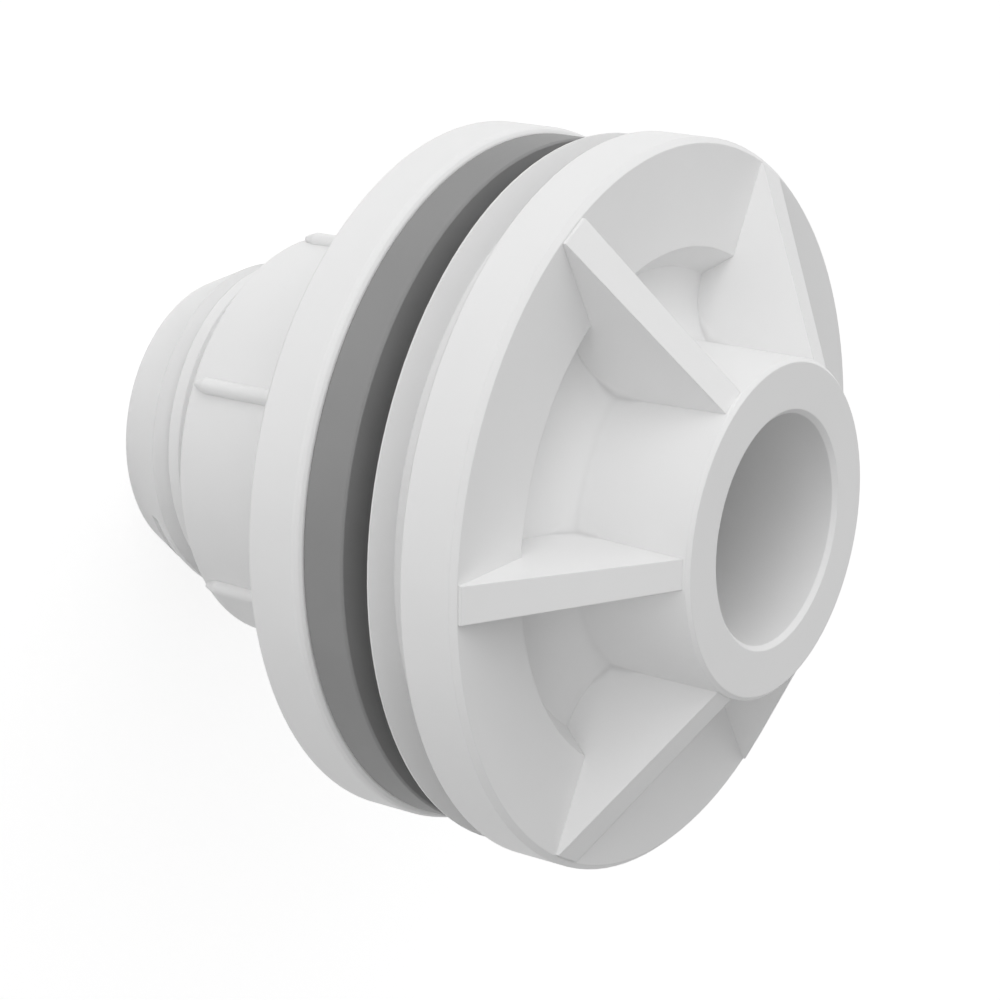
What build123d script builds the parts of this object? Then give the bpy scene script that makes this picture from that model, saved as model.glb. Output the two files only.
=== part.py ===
import os
from math import atan2, cos, radians, sin, tan

from build123d import *

# All lengths are in millimetres. The fitting stands on the plain end of its threaded tube,
# with the tube's axis on +Z and the pipe socket opening upward.

# Pipe socket and waterway
SOCKET_RADIUS = 12.5
SOCKET_DEPTH = 24.0
SOCKET_MOUTH_CHAMFER = 0.5
WATERWAY_RADIUS = 11.0

# Nose that carries the socket
NOSE_RADIUS = 18.4
NOSE_HEIGHT = 13.65
NOSE_EDGE_CHAMFER = 0.4

# Flange
FLANGE_RADIUS = 40.0
FLANGE_EDGE_CHAMFER = 0.6
RIM_WIDTH = 6.5
LIP_RADIUS = 39.3
LIP_SETBACK = 10.9
LIP_EDGE = 0.2
LIP_RISE = 0.7
LIP_GROOVE_RADIUS = 36.0
RIM_BACK_SLOPE = 0.3

# Moat around the nose
MOAT_OUTER_RADIUS = 28.4
MOAT_FLOOR_RADIUS = 25.9
MOAT_DEPTH = 3.1

# Stiffening ribs between the nose and the flange edge, their sides drafted
RIB_COUNT = 6
RIB_FOOT_THICKNESS = 4.1
RIB_TOP_THICKNESS = 3.3
RIB_OUTER_RADIUS = 39.2
RIB_NOSE_HEIGHT = 12.9
RIB_TIP_HEIGHT = 0.35

# Threaded tube
TUBE_LENGTH = 51.8
CREST_RADIUS = 19.5
NECK_LENGTH = 5.1
END_RADIUS = 16.6
LEAD_IN_LENGTH = 6.5
THREAD_PITCH = 3.8
THREAD_DEPTH = 2.0
THREAD_FLANK_ANGLE = 30.0
THREAD_START = 4.2
THREAD_PHASE = 285.8

# Lock nut
NUT_RADIUS = 39.0
NUT_FLANGE_THICKNESS = 6.8
NUT_FRONT_ROUNDING = 1.0
NUT_BACK_CHAMFER = 0.4
HUB_LENGTH = 22.5
HUB_BACK_RADIUS = 23.4
HUB_FRONT_RADIUS = 24.0
HUB_BACK_CHAMFER = 0.4
GRIP_COUNT = 6
GRIP_ANGLE = 32.5
GRIP_RADIUS = 0.9
GRIP_HEIGHT = 0.9
GRIP_END_GAP = 1.0
GRIP_TAPER = 1.4
GRIP_TIP_RADIUS = 0.35
NUT_THREAD_CLEARANCE = 0.3
NUT_THREAD_END_GAP = 0.9
NUT_BORE_CHAMFER = 0.6

# Rubber sealing ring and where it lies
RING_OUTER_RADIUS = 38.3
RING_THICKNESS = 5.0
RING_BORE_CLEARANCE = 0.8
RING_EDGE_CHAMFER = 0.2
RING_SETBACK = 15.0

# Heights that follow from the sizes above
FLANGE_BACK = TUBE_LENGTH
FACE = FLANGE_BACK + LIP_SETBACK + LIP_EDGE
NOSE_TOP = FACE + NOSE_HEIGHT
RING_TOP = FACE - RING_SETBACK
NUT_TOP = RING_TOP - RING_THICKNESS
NUT_FLANGE_BACK = NUT_TOP - NUT_FLANGE_THICKNESS
HUB_BACK = NUT_FLANGE_BACK - HUB_LENGTH


def turned(points):
    """Solid of revolution about Z from a closed outline of (radius, height) points."""
    outline = make_face(Polyline(*points, close=True))
    return revolve(Plane.XZ * outline, Axis.Z)


def helical_bar(section, radius, start_height, end_height, phase):
    """Bar of the given axial section wound right-handed about Z.

    section holds (radius, height) points, its heights measured from the helix. phase is the
    angle about Z at which the helix passes height 0.
    """
    path = Helix(pitch=THREAD_PITCH, height=end_height - start_height, radius=radius)
    face = Plane.XZ * make_face(Polyline(*section, close=True))
    bar = sweep(face, path=path, is_frenet=True)
    turn = phase + 360.0 * start_height / THREAD_PITCH
    return Pos(0, 0, start_height) * Rot(0, 0, turn) * bar


def body_outline():
    """Outer and inner outline of the turned part of the body."""
    moat_floor = FACE - MOAT_DEPTH
    # the slope beside the nose is an arc that leaves the moat's floor level
    run = MOAT_FLOOR_RADIUS - NOSE_RADIUS
    arc_radius = (run * run + MOAT_DEPTH * MOAT_DEPTH) / (2 * MOAT_DEPTH)
    half_angle = atan2(run, arc_radius - MOAT_DEPTH) / 2
    middle = (
        MOAT_FLOOR_RADIUS - arc_radius * sin(half_angle),
        moat_floor + arc_radius * (1 - cos(half_angle)),
    )
    before_arc = [
        (WATERWAY_RADIUS, 0),
        (END_RADIUS, 0),
        (CREST_RADIUS, LEAD_IN_LENGTH),
        (CREST_RADIUS, FLANGE_BACK),
        (LIP_RADIUS, FLANGE_BACK),
        (LIP_RADIUS, FLANGE_BACK + LIP_EDGE),
        (LIP_GROOVE_RADIUS, FLANGE_BACK + LIP_EDGE + LIP_RISE),
        (LIP_GROOVE_RADIUS, FACE - RIM_WIDTH - RIM_BACK_SLOPE),
        (FLANGE_RADIUS, FACE - RIM_WIDTH),
        (FLANGE_RADIUS, FACE - FLANGE_EDGE_CHAMFER),
        (FLANGE_RADIUS - FLANGE_EDGE_CHAMFER, FACE),
        (MOAT_OUTER_RADIUS, FACE),
        (MOAT_FLOOR_RADIUS, moat_floor),
    ]
    after_arc = [
        (NOSE_RADIUS, FACE),
        (NOSE_RADIUS, NOSE_TOP - NOSE_EDGE_CHAMFER),
        (NOSE_RADIUS - NOSE_EDGE_CHAMFER, NOSE_TOP),
        (SOCKET_RADIUS + SOCKET_MOUTH_CHAMFER, NOSE_TOP),
        (SOCKET_RADIUS, NOSE_TOP - SOCKET_MOUTH_CHAMFER),
        (SOCKET_RADIUS, NOSE_TOP - SOCKET_DEPTH),
        (WATERWAY_RADIUS, NOSE_TOP - SOCKET_DEPTH),
        (WATERWAY_RADIUS, 0),
    ]
    edges = Curve() + Polyline(*before_arc)
    edges += ThreePointArc(before_arc[-1], middle, after_arc[0])
    edges += Polyline(*after_arc)
    return make_face(edges)


def thread_groove():
    """Cutter for the groove of the tube's thread, which starts in the lead-in cone."""
    lift = 0.5
    half_width = (THREAD_DEPTH + lift) * tan(radians(THREAD_FLANK_ANGLE))
    return helical_bar(
        [
            (CREST_RADIUS - THREAD_DEPTH, 0),
            (CREST_RADIUS + lift, half_width),
            (CREST_RADIUS + lift, -half_width),
        ],
        CREST_RADIUS,
        THREAD_START,
        FLANGE_BACK - NECK_LENGTH - half_width,
        THREAD_PHASE,
    )


def stiffening_rib():
    """Drafted wedge from the flange edge up to the nose, its foot sunk in the flange."""
    foot = FACE - MOAT_DEPTH - 1.0
    top = FACE + RIB_NOSE_HEIGHT
    inner = (NOSE_RADIUS + SOCKET_RADIUS) / 2
    wedge = make_face(
        Polyline(
            (inner, foot),
            (MOAT_OUTER_RADIUS + 3.0, foot),
            (RIB_OUTER_RADIUS, FACE - 1.0),
            (RIB_OUTER_RADIUS, FACE + RIB_TIP_HEIGHT),
            (NOSE_RADIUS, top),
            (inner, top),
            close=True,
        )
    )
    draft = (RIB_FOOT_THICKNESS - RIB_TOP_THICKNESS) / 2 / RIB_NOSE_HEIGHT
    half_foot = RIB_FOOT_THICKNESS / 2 + draft * (FACE - foot)
    half_top = RIB_TOP_THICKNESS / 2
    section = make_face(
        Polyline(
            (-half_foot, foot),
            (half_foot, foot),
            (half_top, top),
            (-half_top, top),
            close=True,
        )
    )
    bar = extrude(Plane.YZ * section, amount=FLANGE_RADIUS)
    return bar & extrude(Plane.XZ * wedge, amount=RIB_FOOT_THICKNESS, both=True)


def connector_body():
    solid = revolve(Plane.XZ * body_outline(), Axis.Z)
    solid -= thread_groove()
    for turn in range(RIB_COUNT):
        solid += Rot(0, 0, 360.0 * turn / RIB_COUNT) * stiffening_rib()
    return solid


def sealing_ring():
    bore = CREST_RADIUS + RING_BORE_CLEARANCE
    low = RING_TOP - RING_THICKNESS
    return turned(
        [
            (bore, low),
            (RING_OUTER_RADIUS - RING_EDGE_CHAMFER, low),
            (RING_OUTER_RADIUS, low + RING_EDGE_CHAMFER),
            (RING_OUTER_RADIUS, RING_TOP - RING_EDGE_CHAMFER),
            (RING_OUTER_RADIUS - RING_EDGE_CHAMFER, RING_TOP),
            (bore, RING_TOP),
        ]
    )


def lock_nut():
    bore = CREST_RADIUS + NUT_THREAD_CLEARANCE
    rounding = [
        (
            NUT_RADIUS - NUT_FRONT_ROUNDING * (1 - cos(radians(angle))),
            NUT_TOP - NUT_FRONT_ROUNDING * (1 - sin(radians(angle))),
        )
        for angle in (0, 22.5, 45, 67.5, 90)
    ]
    nut = turned(
        [
            (bore + NUT_BORE_CHAMFER, HUB_BACK),
            (HUB_BACK_RADIUS - HUB_BACK_CHAMFER, HUB_BACK),
            (HUB_BACK_RADIUS, HUB_BACK + HUB_BACK_CHAMFER),
            (HUB_FRONT_RADIUS, NUT_FLANGE_BACK),
            (NUT_RADIUS - NUT_BACK_CHAMFER, NUT_FLANGE_BACK),
            (NUT_RADIUS, NUT_FLANGE_BACK + NUT_BACK_CHAMFER),
            *rounding,
            (bore + NUT_BORE_CHAMFER, NUT_TOP),
            (bore, NUT_TOP - NUT_BORE_CHAMFER),
            (bore, HUB_BACK + NUT_BORE_CHAMFER),
        ]
    )

    # rounded grip bars along the hub, pointed at its back end
    centre = (HUB_BACK_RADIUS + HUB_FRONT_RADIUS) / 2 + GRIP_HEIGHT - GRIP_RADIUS
    start = HUB_BACK + GRIP_END_GAP + GRIP_TAPER
    length = NUT_FLANGE_BACK + 0.5 - start
    bar = Pos(centre, 0, start + length / 2) * Cylinder(GRIP_RADIUS, length)
    bar += Pos(centre, 0, start - GRIP_TAPER / 2) * Cone(GRIP_TIP_RADIUS, GRIP_RADIUS, GRIP_TAPER)
    for turn in range(GRIP_COUNT):
        nut += Rot(0, 0, GRIP_ANGLE + 360.0 * turn / GRIP_COUNT) * bar

    # internal thread: the groove's section drawn in by the clearance all round
    slope = tan(radians(THREAD_FLANK_ANGLE))
    flank_shift = NUT_THREAD_CLEARANCE / cos(radians(THREAD_FLANK_ANGLE))
    root = CREST_RADIUS - THREAD_DEPTH
    tip = root + 2 * NUT_THREAD_CLEARANCE + 0.5
    base = bore + 0.4

    def half_width(radius):
        return (radius - root) * slope - flank_shift

    ridge = helical_bar(
        [
            (tip, half_width(tip)),
            (base, half_width(base)),
            (base, -half_width(base)),
            (tip, -half_width(tip)),
        ],
        CREST_RADIUS,
        HUB_BACK + NUT_THREAD_END_GAP + half_width(base),
        NUT_TOP - NUT_THREAD_END_GAP - half_width(base),
        THREAD_PHASE,
    )
    return nut + ridge


os.makedirs("parts", exist_ok=True)
export_step(connector_body(), "parts/connector_body.step")
export_step(sealing_ring(), "parts/sealing_ring.step")
export_step(lock_nut(), "parts/lock_nut.step")
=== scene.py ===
from math import cos, radians, sin

import bpy
from mathutils import Matrix, Vector

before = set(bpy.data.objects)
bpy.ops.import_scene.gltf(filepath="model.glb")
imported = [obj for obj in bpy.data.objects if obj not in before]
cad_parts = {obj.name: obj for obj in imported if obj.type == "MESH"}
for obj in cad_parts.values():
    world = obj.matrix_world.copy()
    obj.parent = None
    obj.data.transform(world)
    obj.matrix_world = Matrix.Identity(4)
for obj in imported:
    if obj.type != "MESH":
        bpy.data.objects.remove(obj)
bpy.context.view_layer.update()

# Camera: where it stands, which way it looks, and how it is rolled so that the tube runs across the picture
CAMERA_PLACE = (0.04853, -0.27771, 0.22303)
CAMERA_AZIMUTH = 9.33
CAMERA_ELEVATION = 32.779
CAMERA_ROLL = 101.831
CAMERA_LENS = 107.928
SENSOR_WIDTH = 36.0
NEAREST_SEEN = 0.01
FARTHEST_SEEN = 20.0

# Light: a soft sky that is brighter on the -X and -Y sides, and one large lamp
SKY_BASE = 0.27
SKY_LEFT = 0.97
SKY_FRONT = 0.97
KEY_PLACE = (-0.38, -0.42, 0.24)
KEY_AIM = (0, 0, 0.04)
KEY_POWER = 0.26
KEY_SIZE = 0.35

# Rounding that the moulded edges show, in metres
EDGE_ROUNDING = 0.0002
EDGE_SAMPLES = 6

# Wider rounding on the circle where the moat's slope meets the nose: full near it, gone at its reach
ROOT_RADIUS = 0.0184
ROOT_HEIGHT = 0.0629
ROOT_ROUNDING = 0.0022
ROOT_CORE = 0.0011
ROOT_REACH = 0.0035

# Surfaces: how coarse the clouds in the colour are, and how strong the grain is
CLOUD_SCALE = 45.0
CLOUD_DETAIL = 3.0
CLOUD_RANGE = (0.3, 0.7)
GRAIN_DETAIL = 4.0
GRAIN_STRENGTH = 0.3

# Floor: its colour under the light, what it adds where it is seen, and how much of the shadow it shows
FLOOR_SIZE = 6.0
FLOOR_ROUGHNESS = 0.9
FLOOR_COLOUR = 0.9
FLOOR_GLOW = 0.80
FLOOR_SHADE = 0.30


def node_material(name):
    """Empty node material with an output and a Principled shader."""
    material = bpy.data.materials.new(name)
    material.use_nodes = True
    nodes = material.node_tree.nodes
    nodes.clear()
    output = nodes.new("ShaderNodeOutputMaterial")
    shader = nodes.new("ShaderNodeBsdfPrincipled")
    material.node_tree.links.new(shader.outputs["BSDF"], output.inputs["Surface"])
    return material, nodes, material.node_tree.links, shader


def moulded(name, dark, light, roughness, specular, grain_scale, grain_depth):
    """Moulded plastic or rubber, slightly cloudy and finely grained. Also gives its edge node."""
    material, nodes, links, shader = node_material(name)
    place = nodes.new("ShaderNodeTexCoord")
    clouds = nodes.new("ShaderNodeTexNoise")
    clouds.inputs["Scale"].default_value = CLOUD_SCALE
    clouds.inputs["Detail"].default_value = CLOUD_DETAIL
    links.new(place.outputs["Object"], clouds.inputs["Vector"])
    ramp = nodes.new("ShaderNodeValToRGB")
    for element, position, grey in zip(ramp.color_ramp.elements, CLOUD_RANGE, (dark, light)):
        element.position = position
        element.color = (grey, grey, grey, 1)
    links.new(clouds.outputs["Fac"], ramp.inputs["Fac"])
    links.new(ramp.outputs["Color"], shader.inputs["Base Color"])
    gloss = nodes.new("ShaderNodeMapRange")
    gloss.inputs["To Min"].default_value = roughness[0]
    gloss.inputs["To Max"].default_value = roughness[1]
    links.new(clouds.outputs["Fac"], gloss.inputs["Value"])
    links.new(gloss.outputs["Result"], shader.inputs["Roughness"])
    grain = nodes.new("ShaderNodeTexNoise")
    grain.inputs["Scale"].default_value = grain_scale
    grain.inputs["Detail"].default_value = GRAIN_DETAIL
    links.new(place.outputs["Object"], grain.inputs["Vector"])
    shader.inputs["Specular IOR Level"].default_value = specular
    edges = nodes.new("ShaderNodeBevel")
    edges.samples = EDGE_SAMPLES
    edges.inputs["Radius"].default_value = EDGE_ROUNDING
    bump = nodes.new("ShaderNodeBump")
    bump.inputs["Strength"].default_value = GRAIN_STRENGTH
    bump.inputs["Distance"].default_value = grain_depth
    links.new(grain.outputs["Fac"], bump.inputs["Height"])
    links.new(edges.outputs["Normal"], bump.inputs["Normal"])
    links.new(bump.outputs["Normal"], shader.inputs["Normal"])
    return material, edges


def seen_ray(nodes, links):
    """1 where a ray comes from the camera, a reflection or glass, 0 for the light on surfaces."""
    paths = nodes.new("ShaderNodeLightPath")
    first = nodes.new("ShaderNodeMath")
    first.operation = "MAXIMUM"
    links.new(paths.outputs["Is Camera Ray"], first.inputs[0])
    links.new(paths.outputs["Is Glossy Ray"], first.inputs[1])
    second = nodes.new("ShaderNodeMath")
    second.operation = "MAXIMUM"
    links.new(first.outputs["Value"], second.inputs[0])
    links.new(paths.outputs["Is Transmission Ray"], second.inputs[1])
    return second.outputs["Value"]


def soften_root(material, edges):
    """Widens the rounding of the edge node near the root of the nose."""
    nodes = material.node_tree.nodes
    links = material.node_tree.links
    place = nodes.new("ShaderNodeTexCoord")
    flat = nodes.new("ShaderNodeVectorMath")
    flat.operation = "MULTIPLY"
    flat.inputs[1].default_value = (1, 1, 0)
    links.new(place.outputs["Object"], flat.inputs[0])
    radius = nodes.new("ShaderNodeVectorMath")
    radius.operation = "LENGTH"
    links.new(flat.outputs["Vector"], radius.inputs[0])
    parts = nodes.new("ShaderNodeSeparateXYZ")
    links.new(place.outputs["Object"], parts.inputs["Vector"])
    section = nodes.new("ShaderNodeCombineXYZ")
    links.new(radius.outputs["Value"], section.inputs["X"])
    links.new(parts.outputs["Z"], section.inputs["Y"])
    distance = nodes.new("ShaderNodeVectorMath")
    distance.operation = "DISTANCE"
    distance.inputs[1].default_value = (ROOT_RADIUS, ROOT_HEIGHT, 0)
    links.new(section.outputs["Vector"], distance.inputs[0])
    fade = nodes.new("ShaderNodeMapRange")
    fade.interpolation_type = "SMOOTHSTEP"
    fade.inputs["From Min"].default_value = ROOT_CORE
    fade.inputs["From Max"].default_value = ROOT_REACH
    fade.inputs["To Min"].default_value = ROOT_ROUNDING
    fade.inputs["To Max"].default_value = EDGE_ROUNDING
    links.new(distance.outputs["Value"], fade.inputs["Value"])
    links.new(fade.outputs["Result"], edges.inputs["Radius"])


plastic, plastic_edges = moulded(
    "white_plastic",
    dark=0.79,
    light=0.82,
    roughness=(0.42, 0.48),
    specular=0.15,
    grain_scale=900.0,
    grain_depth=0.00002,
)
soften_root(plastic, plastic_edges)
rubber, _ = moulded(
    "grey_rubber",
    dark=0.25,
    light=0.28,
    roughness=(0.5, 0.6),
    specular=0.3,
    grain_scale=1500.0,
    grain_depth=0.00005,
)

for name, material in (("connector_body", plastic), ("lock_nut", plastic), ("sealing_ring", rubber)):
    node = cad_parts[name]
    node.data.materials.clear()
    node.data.materials.append(material)

# Floor
bpy.ops.mesh.primitive_plane_add(size=FLOOR_SIZE, location=(0, 0, 0))
floor = bpy.context.object
floor.name = "floor"
material, nodes, links, shader = node_material("pale_floor")
shader.inputs["Roughness"].default_value = FLOOR_ROUGHNESS
shader.inputs["Emission Color"].default_value = (1, 1, 1, 1)
seen = seen_ray(nodes, links)
glow = nodes.new("ShaderNodeMath")
glow.operation = "MULTIPLY"
glow.inputs[1].default_value = FLOOR_GLOW
links.new(seen, glow.inputs[0])
links.new(glow.outputs["Value"], shader.inputs["Emission Strength"])
tone = nodes.new("ShaderNodeMapRange")
tone.inputs["To Min"].default_value = FLOOR_COLOUR
tone.inputs["To Max"].default_value = FLOOR_SHADE
links.new(seen, tone.inputs["Value"])
links.new(tone.outputs["Result"], shader.inputs["Base Color"])
floor.data.materials.append(material)

# World: the sky's light on the surfaces, and plain white where it is seen
world = bpy.data.worlds.new("studio")
bpy.context.scene.world = world
world.use_nodes = True
nodes = world.node_tree.nodes
links = world.node_tree.links
background = nodes["Background"]
background.inputs["Color"].default_value = (1, 1, 1, 1)
direction = nodes.new("ShaderNodeTexCoord")
parts = nodes.new("ShaderNodeSeparateXYZ")
links.new(direction.outputs["Generated"], parts.inputs["Vector"])
sides = []
for axis, start, end in (("X", SKY_BASE, SKY_BASE + SKY_LEFT), ("Y", 0.0, SKY_FRONT)):
    side = nodes.new("ShaderNodeMapRange")
    side.inputs["From Max"].default_value = -1.0
    side.inputs["To Min"].default_value = start
    side.inputs["To Max"].default_value = end
    links.new(parts.outputs[axis], side.inputs["Value"])
    sides.append(side.outputs["Result"])
sky = nodes.new("ShaderNodeMath")
links.new(sides[0], sky.inputs[0])
links.new(sides[1], sky.inputs[1])
strength = nodes.new("ShaderNodeMix")
links.new(seen_ray(nodes, links), strength.inputs["Factor"])
links.new(sky.outputs["Value"], strength.inputs["A"])
strength.inputs["B"].default_value = 1.0
links.new(strength.outputs["Result"], background.inputs["Strength"])

# Key lamp
lamp_data = bpy.data.lights.new("key", "AREA")
lamp_data.size = KEY_SIZE
lamp_data.energy = KEY_POWER
lamp = bpy.data.objects.new("key", lamp_data)
bpy.context.scene.collection.objects.link(lamp)
lamp.location = KEY_PLACE
lamp.rotation_euler = (Vector(KEY_AIM) - Vector(KEY_PLACE)).to_track_quat("-Z", "Y").to_euler()

# Camera
azimuth = radians(CAMERA_AZIMUTH)
elevation = radians(CAMERA_ELEVATION)
back = Vector((sin(azimuth) * cos(elevation), -cos(azimuth) * cos(elevation), sin(elevation)))
level = Vector((cos(azimuth), sin(azimuth), 0))
rise = back.cross(level)
right = level * cos(radians(CAMERA_ROLL)) + rise * sin(radians(CAMERA_ROLL))
up = back.cross(right)
camera_data = bpy.data.cameras.new("camera")
camera_data.lens = CAMERA_LENS
camera_data.sensor_width = SENSOR_WIDTH
camera_data.clip_start = NEAREST_SEEN
camera_data.clip_end = FARTHEST_SEEN
camera = bpy.data.objects.new("camera", camera_data)
bpy.context.scene.collection.objects.link(camera)
camera.matrix_world = Matrix.Translation(CAMERA_PLACE) @ Matrix((right, up, back)).transposed().to_4x4()
bpy.context.scene.camera = camera

bpy.context.scene.view_settings.view_transform = "Standard"
